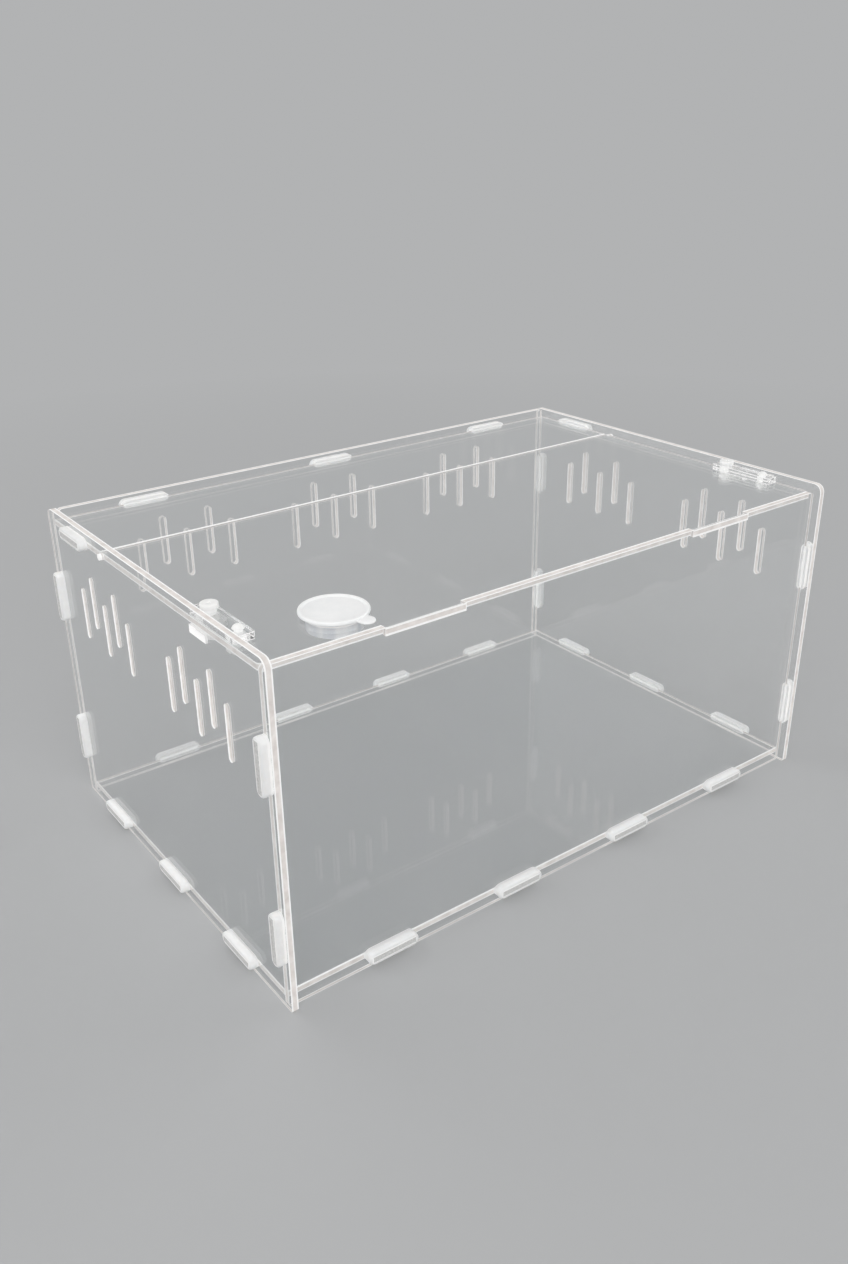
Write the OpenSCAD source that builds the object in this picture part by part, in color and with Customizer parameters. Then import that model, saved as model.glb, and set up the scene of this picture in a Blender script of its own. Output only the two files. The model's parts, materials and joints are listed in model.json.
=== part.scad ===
// Clear reptile breeding box of laser-cut sheet, joined by tenons in soft sleeves.
// Millimetres. X runs along the long side, the front is towards -Y, and Z is up.
// The origin is on the ground, under the middle of the box.

/* [Box] */
// Length over the outer faces of the two end panels
box_w = 300; // [260:1:420]
// Depth of the end panels, front edge to rear edge
box_d = 200; // [180:1:300]
// Height of the end panels and the back panel
box_h = 150; // [146:1:260]
// Thickness of every clear sheet
sheet_t = 3; // [2.5:0.1:3.6]
// How far the front, back and floor sheets sit inside the edges of the end panels
edge_inset = 3.5; // [3.5:0.1:8]
// How far the lid and the rear strip lie below the top edge of the end panels
lid_drop = 4; // [3.5:0.1:7]
// Corner radius at the top of the end panels
end_corner_r = 4; // [1:0.5:6]
// Corner radius at the top of the front and back panels
wall_corner_r = 2; // [0.5:0.5:2.5]
// Radius of the nearly sharp corners that the box stands on
foot_corner_r = 1; // [0.5:0.1:2]

/* [Tenon joints] */
// Width of a tenon, along the edge that it stands on
tenon_w = 21.5; // [16:0.5:24]
// How far tenon and sleeve stand out beyond the sheet that they pass through
tenon_out = 3; // [1:0.5:5]
// Wall of the soft sleeve round a tenon
sleeve_wall = 1.2; // [0.8:0.1:1.4]
// Clearance between a tenon and its sleeve
tenon_fit = 0.05; // [0.02:0.01:0.1]
// Clearance between a sleeve and the slot that it fills
slot_fit = 0.05; // [0.02:0.01:0.1]
// Number of floor tenons through the front panel, and through the back panel
floor_long_count = 4; // [2:1:5]
// Outer face of an end panel to the first floor tenon of the front and back rows
floor_long_margin = 48.6; // [34:0.1:56]
// Number of floor tenons through each end panel
floor_short_count = 3; // [2:1:4]
// Front edge of an end panel to the first floor tenon through it
floor_short_margin = 39; // [34:0.5:50]
// Height of the lower tenon on each upright edge
upright_low = 33; // [30:0.5:44]
// Drop of the upper tenon below the top edge of the end panels
upright_drop = 42; // [34:0.5:50]
// Number of strip tenons through the back panel
strip_count = 3; // [2:1:4]
// Outer face of an end panel to the first strip tenon
strip_margin = 45; // [34:0.5:56]

/* [Lid] */
// Depth of the fixed strip behind the lid
strip_d = 52.5; // [36:0.5:70]
// Gap between the lid and the walls beside it
lid_gap = 0.3; // [0.2:0.05:0.6]
// Gap between the lid and the strip behind it
hinge_gap = 1; // [0.8:0.1:2]
// Diameter of the lid's round ears
ear_d = 2.8; // [2:0.1:2.9]
// Rear edge of the lid to the ear axis
ear_back = 1.6; // [1.5:0.1:2]
// How far an ear stands out beyond the end panel
ear_out = 1; // [0.5:0.1:3]
// Running clearance round an ear and round a latch stem
turn_fit = 0.05; // [0.02:0.01:0.1]
// Width of the two front tabs of the lid
tab_w = 36; // [20:1:44]
// Outer face of an end panel to the middle of the nearer tab
tab_margin = 69; // [60:1:90]
// Gap between a tab and the floor of its notch
notch_gap = 0.2; // [0.1:0.05:0.4]
// Radius of the lid's front corners
lid_corner_r = 1.5; // [0.5:0.1:3]

/* [Vents] */
// Width of a vent slot
vent_w = 3; // [2:0.1:4]
// Length of a vent slot
vent_len = 24.3; // [16:0.1:30]
// Distance from one slot to the next
vent_pitch = 12.1; // [8:0.1:13]
// Slots in a group
vent_count = 5; // [3:2:5]
// How much higher every second slot sits
vent_stagger = 8.9; // [4:0.1:12]
// Edge of an end panel to the middle of its nearer vent group
end_vent_margin = 56.2; // [50:0.1:62]
// Top edge to the upper slots of the end panels
end_vent_drop = 20.7; // [14:0.1:24]
// Number of vent groups in the back panel
back_vent_groups = 3; // [2:1:3]
// Outer face of an end panel to the middle of the first group of the back panel
back_vent_margin = 64.6; // [50:0.1:68]
// Top edge to the upper slots of the back panel
back_vent_drop = 16.3; // [13:0.1:22]

/* [Feeding port] */
// Outer face of the left end panel to the port axis
port_side = 43.5; // [34:0.5:60]
// Front edge of the end panels to the port axis
port_front = 26; // [24:0.5:60]
// Outer diameter of the collar that hangs through the lid
collar_d = 21.3; // [18:0.1:23]
// Wall of the collar, and of the plug skirt of its cap
collar_wall = 1.1; // [0.8:0.1:1.4]
// How far the collar reaches below the underside of the lid
collar_drop = 4.5; // [2:0.1:8]
// Width of the flange that the collar rests on the lid with
flange_w = 1.6; // [1:0.1:2]
// Thickness of that flange
flange_t = 0.8; // [0.6:0.1:1.2]
// Clearance of the collar in the lid
collar_fit = 0.1; // [0.05:0.05:0.2]
// Diameter of the cap
cap_d = 26.8; // [26:0.1:28]
// Thickness of the cap's disc and of its pull tab
cap_t = 0.9; // [0.6:0.1:1.5]
// Height of the raised bead round the cap, above its disc
cap_bead_h = 0.5; // [0.3:0.1:1]
// Width of that bead
cap_bead_w = 1.2; // [0.8:0.1:2]
// Depth of the cap's skirt inside the collar
skirt_depth = 3.5; // [2:0.1:5]
// Clearance between the skirt and the collar
skirt_fit = 0.3; // [0.2:0.05:0.5]
// Port axis to the tip of the pull tab
pull_reach = 18.8; // [16:0.1:20]
// Width of the pull tab
pull_w = 6.4; // [4:0.1:8]
// Turn of the pull tab, from straight forward towards the right
pull_turn = 16.6; // [0:0.1:60]

/* [Latches] */
// Inner face of the end panel to the axis of the latch
latch_in = 4; // [3.9:0.1:5]
// Front edge of the end panels to the knob
knob_front = 52.4; // [48:0.1:60]
// Front edge of the end panels to the bar screw
screw_front = 30.5; // [26:0.1:34]
// Width of the bar
bar_w = 7; // [6:0.1:7.4]
// How far the bar runs on past the knob and past the screw
bar_over = 6.1; // [4.5:0.1:8]
// Corner radius of the bar
bar_corner_r = 1; // [0.5:0.1:2]
// Diameter of the knob
knob_d = 7; // [6.5:0.1:7.4]
// Height of the knob above the bar
knob_h = 2; // [1.5:0.1:5]
// Diameter of the stem that turns in the bar and the lid
stem_d = 5; // [4:0.1:5.4]
// Gap above the bar and below the lid that lets the latch turn
turn_gap = 0.2; // [0.1:0.05:0.4]
// Width of the tongue
tongue_w = 7; // [6.4:0.1:7.4]
// Latch axis to the tip of the tongue
tongue_reach = 9.5; // [8.5:0.1:11]
// Thickness of the tongue
tongue_t = 2.5; // [2:0.1:3]
// Clearance round the tongue in the slot of the end panel
tongue_room = 0.4; // [0.3:0.05:0.8]
// Clearance of pieces that are pressed or screwed together
press_fit = 0.02; // [0.01:0.01:0.05]

/* [Screws] */
// Diameter of the screw shanks
shank_d = 3; // [2.5:0.1:3]
// Clearance of a screw shank in the clear sheets
shank_fit = 0.1; // [0.05:0.05:0.2]
// Diameter of the domed head of a bar screw
dome_d = 4.8; // [4.4:0.1:6]
// Height of that head
dome_h = 1.6; // [1.2:0.1:2.2]
// Width of the nut across its flats
nut_af = 5.5; // [5:0.1:5.8]
// Height of the nut
nut_h = 2.4; // [1.6:0.1:2.6]
// How far the bar screw shows below its nut
shank_end = 0.8; // [0.3:0.1:1.5]
// Diameter of the head of the screw under the tongue
tongue_screw_d = 5.6; // [4.5:0.1:6.2]
// Height of that head
tongue_screw_h = 1.1; // [0.8:0.1:1.6]
// Diameter of that screw's shank, inside the knob's stem
tongue_shank_d = 2; // [1.6:0.1:2.4]
// Length of that shank
tongue_shank_len = 7; // [5:0.1:8]

/* [Hidden] */
$fn = 64;
half_w = box_w / 2;
half_d = box_d / 2;
// Inner faces of the end panels, outer and inner faces of the front and back panels
in_x = half_w - sheet_t;
wall_out = half_d - edge_inset;
wall_in = wall_out - sheet_t;
floor_mid = edge_inset + sheet_t / 2;
lid_top = box_h - lid_drop;
lid_low = lid_top - sheet_t;
lid_mid = lid_top - sheet_t / 2;
strip_front = wall_in - strip_d;
strip_mid = wall_in - strip_d / 2;
lid_rear = strip_front - hinge_gap;
lid_front = -wall_in + lid_gap;
lid_side = in_x - lid_gap;
hinge_y = lid_rear - ear_back;
wall_mid = wall_out - sheet_t / 2;
// A sleeve's outline, and the length of a tenon from its shoulder to its end
sleeve_w = tenon_w + 2 * (tenon_fit + sleeve_wall);
sleeve_h = sheet_t + 2 * (tenon_fit + sleeve_wall);
tenon_len = sheet_t + tenon_out;
// How far a tenon's outline reaches back into its own sheet, or a tab's or ear's into the lid
root = 2;
// Places along each row of tenons, symmetrical about the middle
function row(count, first, last) = [for (i = [0 : count - 1]) first + i * (last - first) / (count - 1)];
floor_long = row(floor_long_count, -half_w + floor_long_margin, half_w - floor_long_margin);
floor_short = row(floor_short_count, -half_d + floor_short_margin, half_d - floor_short_margin);
upright = [upright_low, box_h - upright_drop];
strip_long = row(strip_count, -half_w + strip_margin, half_w - strip_margin);
tabs = [-half_w + tab_margin, half_w - tab_margin];
end_vents = [-half_d + end_vent_margin, half_d - end_vent_margin];
back_vents = row(back_vent_groups, -half_w + back_vent_margin, half_w - back_vent_margin);
port_x = -half_w + port_side;
port_y = -half_d + port_front;
// Latch places for the right side; the left side is its mirror image
latch_x = in_x - latch_in;
knob_y = -half_d + knob_front;
screw_y = -half_d + screw_front;
bar_top = lid_top + sheet_t;
tongue_top = lid_low - turn_gap;
tongue_low = tongue_top - tongue_t;
// Front and rear ends of the path that the tongue sweeps through the end panel
sweep_front = knob_y - sqrt(pow(tongue_reach, 2) - pow(latch_in, 2)) - tongue_room;
sweep_rear = knob_y + tongue_w / 2 + tongue_room;

clear = [0.86, 0.92, 0.95, 0.35];
milky = [0.95, 0.95, 0.94];
white = [0.97, 0.96, 0.93];

latch_pieces = ["latch_bar", "bar_screw", "bar_nut", "latch_knob", "latch_tongue", "tongue_screw"];
function names(stem, count) = [for (i = [1 : count]) str(stem, i)];

// Outline of a sheet from (x0, y0) to (x1, y1), with its own radius at the low and the high corners
module sheet_outline(x0, y0, x1, y1, low_r, high_r) {
    mid = (y0 + y1) / 2;
    translate([x0 + low_r, y0]) square([x1 - x0 - 2 * low_r, mid - y0]);
    translate([x0 + high_r, mid]) square([x1 - x0 - 2 * high_r, y1 - mid]);
    translate([x0, y0 + low_r]) square([x1 - x0, y1 - y0 - low_r - high_r]);
    for (x = [x0 + low_r, x1 - low_r]) translate([x, y0 + low_r]) circle(low_r);
    for (x = [x0 + high_r, x1 - high_r]) translate([x, y1 - high_r]) circle(high_r);
}

// Long hole with round ends, centred, its length along X
module long_hole(length, width) {
    square([length - width, width], center = true);
    for (x = [-1, 1]) translate([x * (length - width) / 2, 0]) circle(width / 2);
}

// Slot that a sleeve fills
module sleeve_slot() long_hole(sleeve_w + 2 * slot_fit, sleeve_h + 2 * slot_fit);

// One staggered group of vent slots; every second slot reaches up to the height given
module vent_group(x, top) {
    for (i = [0 : vent_count - 1]) {
        lower = i % 2 == 0 ? vent_stagger : 0;
        translate([x + (i - (vent_count - 1) / 2) * vent_pitch, top - vent_len / 2 - lower])
            rotate(90) long_hole(vent_len, vent_w);
    }
}

// Stands a flat outline up along Y, from the inner to the outer face of the right end panel
module in_end_plane() translate([in_x, 0, 0]) rotate([90, 0, 90]) linear_extrude(sheet_t) children();

// Stands a flat outline up along X, with its rear face at the y given
module across(rear_y) translate([0, rear_y, 0]) rotate([90, 0, 0]) linear_extrude(sheet_t) children();

// Tenons as flat outlines: standing out past +X and -X at each place along Y
module tenons_along_x(places) {
    for (y = places, side = [-1, 1])
        translate([side * (in_x + (tenon_len - root) / 2), y])
            square([tenon_len + root, tenon_w], center = true);
}

// Right end panel; the left one is its mirror image
module end_panel() {
    in_end_plane() difference() {
        sheet_outline(-half_d, 0, half_d, box_h, foot_corner_r, end_corner_r);
        for (y = floor_short) translate([y, floor_mid]) sleeve_slot();
        for (y = [-wall_mid, wall_mid], z = upright) translate([y, z]) rotate(90) sleeve_slot();
        translate([strip_mid, lid_mid]) sleeve_slot();
        for (y = end_vents) vent_group(y, box_h - end_vent_drop);
        translate([hinge_y, lid_mid]) circle(ear_d / 2 + turn_fit);
        translate([sweep_front, tongue_low - tongue_room])
            square([sweep_rear - sweep_front, tongue_t + 2 * tongue_room]);
    }
}
module left_end_panel() color(clear) mirror([1, 0, 0]) end_panel();
module right_end_panel() color(clear) end_panel();

// Front panel: floor slots near its foot, and a notch in its top edge for each tab of the lid
module front_panel() {
    color(clear) across(-wall_in) difference() {
        union() {
            sheet_outline(-in_x, 0, in_x, lid_top, foot_corner_r, wall_corner_r);
            tenons_along_x(upright);
        }
        for (x = floor_long) translate([x, floor_mid]) sleeve_slot();
        for (x = tabs) translate([x - tab_w / 2 - lid_gap, lid_low - notch_gap])
            square([tab_w + 2 * lid_gap, sheet_t + notch_gap + 1]);
    }
}

// Back panel: floor slots, strip slots and the vents
module back_panel() {
    color(clear) across(wall_out) difference() {
        union() {
            sheet_outline(-in_x, 0, in_x, box_h, foot_corner_r, wall_corner_r);
            tenons_along_x(upright);
        }
        for (x = floor_long) translate([x, floor_mid]) sleeve_slot();
        for (x = strip_long) translate([x, lid_mid]) sleeve_slot();
        for (x = back_vents) vent_group(x, box_h - back_vent_drop);
    }
}

// Floor sheet with tenons on all four edges
module bottom_panel() {
    color(clear) translate([0, 0, edge_inset]) linear_extrude(sheet_t) {
        square([2 * in_x, 2 * wall_in], center = true);
        tenons_along_x(floor_short);
        for (x = floor_long, side = [-1, 1])
            translate([x, side * (wall_in + (tenon_len - root) / 2)])
                square([tenon_w, tenon_len + root], center = true);
    }
}

// Fixed strip behind the lid
module rear_top_strip() {
    color(clear) translate([0, 0, lid_low]) linear_extrude(sheet_t) {
        translate([-in_x, strip_front]) square([2 * in_x, strip_d]);
        tenons_along_x([strip_mid]);
        for (x = strip_long)
            translate([x - tenon_w / 2, wall_in - root]) square([tenon_w, tenon_len + root]);
    }
}

// Lid: the sheet with its tabs, port hole and latch holes, and a round ear on each side
module lid_panel() {
    color(clear) union() {
        translate([0, 0, lid_low]) linear_extrude(sheet_t) difference() {
            union() {
                sheet_outline(-lid_side, lid_front, lid_side, lid_rear, lid_corner_r, lid_corner_r / 2);
                for (x = tabs) translate([x - tab_w / 2, -wall_out])
                    square([tab_w, wall_out + lid_front + root]);
            }
            translate([port_x, port_y]) circle(collar_d / 2 + collar_fit);
            for (side = [-1, 1]) {
                translate([side * latch_x, knob_y]) circle(stem_d / 2 + turn_fit);
                translate([side * latch_x, screw_y]) circle(shank_d / 2 + shank_fit);
            }
        }
        for (side = [-1, 1]) translate([side * (lid_side - root), hinge_y, lid_mid])
            rotate([0, side * 90, 0]) cylinder(d = ear_d, h = half_w + ear_out - lid_side + root);
    }
}

// Soft ring round a tenon, built flat: its hole holds the tenon, and its length runs along Z
module sleeve() {
    color(milky) linear_extrude(tenon_len) difference() {
        long_hole(sleeve_w, sleeve_h);
        square([tenon_w + 2 * tenon_fit, sheet_t + 2 * tenon_fit], center = true);
    }
}

// A sleeve through an end panel, level or upright
module end_sleeve(side, y, z, turn) {
    translate([side * in_x, y, z]) rotate([90, 0, 90 * side]) rotate(turn) sleeve();
}

// A sleeve through the front (-1) or back (1) panel
module wall_sleeve(side, x, z) translate([x, side * wall_in, z]) rotate([-90 * side, 0, 0]) sleeve();

module floor_front_sleeve(i) wall_sleeve(-1, floor_long[i - 1], floor_mid);
module floor_back_sleeve(i) wall_sleeve(1, floor_long[i - 1], floor_mid);
module floor_left_sleeve(i) end_sleeve(-1, floor_short[i - 1], floor_mid, 0);
module floor_right_sleeve(i) end_sleeve(1, floor_short[i - 1], floor_mid, 0);
module front_left_sleeve(i) end_sleeve(-1, -wall_mid, upright[i - 1], 90);
module front_right_sleeve(i) end_sleeve(1, -wall_mid, upright[i - 1], 90);
module back_left_sleeve(i) end_sleeve(-1, wall_mid, upright[i - 1], 90);
module back_right_sleeve(i) end_sleeve(1, wall_mid, upright[i - 1], 90);
module strip_back_sleeve(i) wall_sleeve(1, strip_long[i - 1], lid_mid);
module strip_left_sleeve() end_sleeve(-1, strip_mid, lid_mid, 0);
module strip_right_sleeve() end_sleeve(1, strip_mid, lid_mid, 0);

// Open collar that hangs through the lid by its flange
module feeding_port_collar() {
    inner_r = collar_d / 2 - collar_wall;
    color(milky) translate([port_x, port_y, 0]) difference() {
        union() {
            translate([0, 0, lid_low - collar_drop])
                cylinder(d = collar_d, h = collar_drop + sheet_t + flange_t);
            translate([0, 0, lid_top]) cylinder(r = collar_d / 2 + flange_w, h = flange_t);
        }
        translate([0, 0, lid_low - collar_drop - 1])
            cylinder(r = inner_r, h = collar_drop + sheet_t + flange_t + 2);
    }
}

// Cap with a plug skirt below, a raised bead round its top and a pull tab
module feeding_port_cap() {
    seat_z = lid_top + flange_t;
    skirt_r = collar_d / 2 - collar_wall - skirt_fit;
    color(white) translate([port_x, port_y, 0]) union() {
        translate([0, 0, seat_z]) cylinder(d = cap_d, h = cap_t);
        translate([0, 0, seat_z + cap_t - 0.2]) difference() {
            cylinder(d = cap_d, h = cap_bead_h + 0.2);
            translate([0, 0, -1]) cylinder(r = cap_d / 2 - cap_bead_w, h = cap_bead_h + 2);
        }
        translate([0, 0, seat_z - skirt_depth]) difference() {
            cylinder(r = skirt_r, h = skirt_depth + 0.2);
            translate([0, 0, -1]) cylinder(r = skirt_r - collar_wall, h = skirt_depth + 1);
        }
        translate([0, 0, seat_z]) rotate(pull_turn - 90) linear_extrude(cap_t) {
            translate([cap_d / 4, -pull_w / 2]) square([pull_reach - cap_d / 4 - pull_w / 2, pull_w]);
            translate([pull_reach - pull_w / 2, 0]) circle(pull_w / 2);
        }
    }
}

// Clear bar on top of the lid, bored for the knob's stem and for the screw
module latch_bar() {
    color(clear) translate([0, 0, lid_top]) linear_extrude(sheet_t) difference() {
        sheet_outline(latch_x - bar_w / 2, screw_y - bar_over, latch_x + bar_w / 2, knob_y + bar_over,
            bar_corner_r, bar_corner_r);
        translate([latch_x, knob_y]) circle(stem_d / 2 + turn_fit);
        translate([latch_x, screw_y]) circle(shank_d / 2 + shank_fit);
    }
}

// Domed screw that clamps the bar on the lid
module bar_screw() {
    low = lid_low - nut_h - shank_end;
    dome_r = (pow(dome_d / 2, 2) + pow(dome_h, 2)) / (2 * dome_h);
    color(white) translate([latch_x, screw_y, 0]) union() {
        translate([0, 0, low]) cylinder(d = shank_d, h = bar_top - low + 0.3);
        translate([0, 0, bar_top]) rotate_extrude() intersection() {
            translate([0, dome_h - dome_r]) circle(dome_r);
            square([dome_d / 2, dome_h]);
        }
    }
}

// Six-sided nut below the lid
module bar_nut() {
    color(white) translate([latch_x, screw_y, lid_low - nut_h]) difference() {
        cylinder(r = nut_af / 2 / cos(30), h = nut_h, $fn = 6);
        translate([0, 0, -1]) cylinder(d = shank_d + 2 * press_fit, h = nut_h + 2);
    }
}

// Knob with the stem that turns in bar and lid, and the hole for the screw below
module latch_knob() {
    hole_len = tongue_shank_len - tongue_t / 2;
    color(white) translate([latch_x, knob_y, 0]) difference() {
        union() {
            translate([0, 0, bar_top + turn_gap]) cylinder(d = knob_d, h = knob_h);
            translate([0, 0, tongue_low]) cylinder(d = stem_d, h = bar_top + turn_gap - tongue_low + 0.5);
        }
        translate([0, 0, tongue_low - 1])
            cylinder(d = tongue_shank_d + 2 * press_fit, h = tongue_shank_len + 1.3);
    }
}

// Clear tongue below the lid; it points forward at rest, and turned out it enters the end panel
module latch_tongue() {
    tip_r = tongue_w / 2;
    color(clear) translate([latch_x, knob_y, tongue_low]) linear_extrude(tongue_t) difference() {
        union() {
            circle(tip_r);
            translate([-tip_r, tip_r - tongue_reach]) square([tongue_w, tongue_reach - tip_r]);
            translate([0, tip_r - tongue_reach]) circle(tip_r);
        }
        circle(stem_d / 2 + press_fit);
    }
}

// Screw that holds the tongue on the stem
module tongue_screw() {
    color(white) translate([latch_x, knob_y, 0]) union() {
        translate([0, 0, tongue_low - tongue_screw_h]) cylinder(d = tongue_screw_d, h = tongue_screw_h);
        translate([0, 0, tongue_low - 0.3]) cylinder(d = tongue_shank_d, h = tongue_shank_len + 0.3);
    }
}

// Draws a latch piece by its name, for the right side
module latch_piece(name) {
    if (name == "latch_bar") latch_bar();
    if (name == "bar_screw") bar_screw();
    if (name == "bar_nut") bar_nut();
    if (name == "latch_knob") latch_knob();
    if (name == "latch_tongue") latch_tongue();
    if (name == "tongue_screw") tongue_screw();
}

left_end_panel();
right_end_panel();
front_panel();
back_panel();
bottom_panel();
rear_top_strip();
lid_panel();
feeding_port_collar();
feeding_port_cap();
for (i = [1 : floor_long_count]) {
    floor_front_sleeve(i);
    floor_back_sleeve(i);
}
for (i = [1 : floor_short_count]) {
    floor_left_sleeve(i);
    floor_right_sleeve(i);
}
for (i = [1 : 2]) {
    front_left_sleeve(i);
    front_right_sleeve(i);
    back_left_sleeve(i);
    back_right_sleeve(i);
}
for (i = [1 : strip_count])
    strip_back_sleeve(i);
strip_left_sleeve();
strip_right_sleeve();
for (name = latch_pieces) {
    mirror([1, 0, 0]) latch_piece(name);
    latch_piece(name);
}
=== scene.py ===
# %% [markdown]
# # A clear box for breeding reptiles
# The box is seven sheets of clear acrylic. Tenons join six of them, each pushed through a soft milky sleeve in
# a slot, and the seventh is the lid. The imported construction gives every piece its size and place, and this
# script gives it its looks: fine bevels and bright cut edges on the sheets, moulded sleeves, a turned port with
# its cap, and white fasteners.

# %% Load the frame
import json
import math

import bmesh
import bpy
from mathutils import Matrix, Vector


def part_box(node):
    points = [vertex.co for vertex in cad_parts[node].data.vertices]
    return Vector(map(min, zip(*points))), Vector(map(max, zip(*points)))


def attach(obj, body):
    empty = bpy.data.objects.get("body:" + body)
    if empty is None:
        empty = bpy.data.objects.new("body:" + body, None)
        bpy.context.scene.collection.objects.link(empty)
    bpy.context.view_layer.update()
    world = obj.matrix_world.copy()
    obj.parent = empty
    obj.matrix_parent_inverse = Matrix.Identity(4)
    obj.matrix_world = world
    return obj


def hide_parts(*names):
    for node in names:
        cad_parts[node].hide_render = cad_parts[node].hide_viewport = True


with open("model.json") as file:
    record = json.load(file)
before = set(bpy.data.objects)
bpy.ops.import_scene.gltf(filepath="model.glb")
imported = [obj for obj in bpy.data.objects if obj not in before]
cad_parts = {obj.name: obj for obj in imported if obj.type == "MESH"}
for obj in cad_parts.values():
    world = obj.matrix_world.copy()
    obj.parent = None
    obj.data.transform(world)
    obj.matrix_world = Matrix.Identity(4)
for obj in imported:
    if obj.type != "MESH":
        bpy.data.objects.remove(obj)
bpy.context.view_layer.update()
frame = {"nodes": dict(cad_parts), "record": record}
BODY_OF = {node: body for body, nodes in frame["record"]["behaviour"]["bodies"].items() for node in nodes}
MM = 0.001
print("pieces in the frame:", len(frame["nodes"]))

# %% [markdown]
# ## The camera
# The photograph looks down on the left front corner with a fairly wide lens. The long side of a picture
# spans the sensor's width, and the picture stands upright, so the lens below belongs to its height. The
# camera is turned with three plain turns: about its own view, then down from the level, then to the right.

# %% Set the camera
EYE = Vector((-301.51, -393.45, 311.36)) * MM
TURN_RIGHT = math.radians(36.41)
LOOK_DOWN = math.radians(24.95)
LEAN = math.radians(-0.82)
LENS, SENSOR = 31.9, 36.0

camera_data = bpy.data.cameras.new("camera")
camera_data.lens = LENS
camera_data.sensor_width = SENSOR
camera_data.clip_start = 0.01
camera_data.clip_end = 50.0
camera = bpy.data.objects.new("camera", camera_data)
camera.matrix_world = (
    Matrix.Translation(EYE)
    @ Matrix.Rotation(-TURN_RIGHT, 4, "Z")
    @ Matrix.Rotation(math.radians(90) - LOOK_DOWN, 4, "X")
    @ Matrix.Rotation(LEAN, 4, "Z")
)
bpy.context.scene.collection.objects.link(camera)
bpy.context.scene.camera = camera
print("camera to the middle of the box, mm:", round((EYE - Vector((0, 0, 75 * MM))).length / MM))

# %% [markdown]
# ## Materials
# A material is a small network of nodes. Each one here starts with the same shader and reads the object's own
# coordinates, so its pattern keeps its real scale and stays on the piece when the lid moves.
# The helper below makes the shader, sets its plain numbers, and hands back what the patterns are wired to.

# %% A helper for materials
class Finish:
    """A material with its shader, and short ways to wire patterns on the object's coordinates."""

    def __init__(self, name, **numbers):
        self.material = bpy.data.materials.new(name)
        self.material.use_nodes = True
        tree = self.material.node_tree
        self.nodes, self.links = tree.nodes, tree.links
        self.shader = next(n for n in self.nodes if n.type == "BSDF_PRINCIPLED")
        for socket, number in numbers.items():
            self.shader.inputs[socket.replace("_", " ")].default_value = number
        self.coordinates = self.nodes.new("ShaderNodeTexCoord")

    def noise(self, scale, detail=2.0, stretch=(1, 1, 1)):
        """Soft pattern; scale is in blotches per metre, and stretch under 1 draws them out along an axis."""
        mapping = self.nodes.new("ShaderNodeMapping")
        mapping.inputs["Scale"].default_value = stretch
        texture = self.nodes.new("ShaderNodeTexNoise")
        texture.inputs["Scale"].default_value = scale
        texture.inputs["Detail"].default_value = detail
        self.links.new(self.coordinates.outputs["Object"], mapping.inputs["Vector"])
        self.links.new(mapping.outputs["Vector"], texture.inputs["Vector"])
        return texture.outputs["Fac"]

    def spread(self, pattern, low, high, start=0.3, end=0.7):
        """Maps a pattern from start to end onto the numbers low to high."""
        node = self.nodes.new("ShaderNodeMapRange")
        for socket, number in (("From Min", start), ("From Max", end), ("To Min", low), ("To Max", high)):
            node.inputs[socket].default_value = number
        self.links.new(pattern, node.inputs["Value"])
        return node.outputs["Result"]

    def colours(self, pattern, first, second, start=0.3, end=0.7):
        """Runs the base colour from first to second with the pattern."""
        ramp = self.nodes.new("ShaderNodeValToRGB")
        ramp.color_ramp.elements[0].position = start
        ramp.color_ramp.elements[1].position = end
        ramp.color_ramp.elements[0].color = (*first, 1)
        ramp.color_ramp.elements[1].color = (*second, 1)
        self.links.new(pattern, ramp.inputs["Fac"])
        self.links.new(ramp.outputs["Color"], self.shader.inputs["Base Color"])

    def roughness(self, pattern, low, high):
        self.links.new(self.spread(pattern, low, high), self.shader.inputs["Roughness"])

    def bump(self, pattern, height):
        """Raises the surface by height metres where the pattern is high."""
        node = self.nodes.new("ShaderNodeBump")
        node.inputs["Distance"].default_value = height
        node.inputs["Strength"].default_value = 1.0
        self.links.new(pattern, node.inputs["Height"])
        self.links.new(node.outputs["Normal"], self.shader.inputs["Normal"])


# %% [markdown]
# ### Clear acrylic
# Acrylic bends light by an index of 1.49. Its faces come polished from the factory, so they are almost
# invisible, with a breath of haze and wiping marks. That is the first finish. The bars of the two latches have
# polished edges as well, and their tongues below the lid are frosted all over.

# %% Finishes of the polished and the frosted acrylic
ACRYLIC_INDEX = 1.49


def sheet_face():
    finish = Finish("clear_face", IOR=ACRYLIC_INDEX, Transmission_Weight=1.0)
    finish.colours(finish.noise(9, 3), (0.984, 0.991, 0.992), (0.996, 0.998, 0.998))
    finish.roughness(finish.noise(24, 4, stretch=(1, 0.35, 1)), 0.0, 0.03)
    return finish.material


def polished_edge():
    finish = Finish("polished_edge", IOR=ACRYLIC_INDEX, Transmission_Weight=0.95)
    finish.colours(finish.noise(200, 3), (0.93, 0.93, 0.925), (0.98, 0.98, 0.975))
    finish.roughness(finish.noise(700, 3), 0.02, 0.12)
    return finish.material


def frosted_sheet():
    finish = Finish("frosted_sheet", IOR=ACRYLIC_INDEX, Transmission_Weight=0.3)
    finish.colours(finish.noise(260, 3), (0.87, 0.865, 0.85), (0.94, 0.935, 0.93))
    finish.roughness(finish.noise(1200, 3), 0.35, 0.55)
    return finish.material


FACE, BAR_EDGE, FROSTED = sheet_face(), polished_edge(), frosted_sheet()
print("polished and frosted:", [m.name for m in (FACE, BAR_EDGE, FROSTED)])

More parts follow.
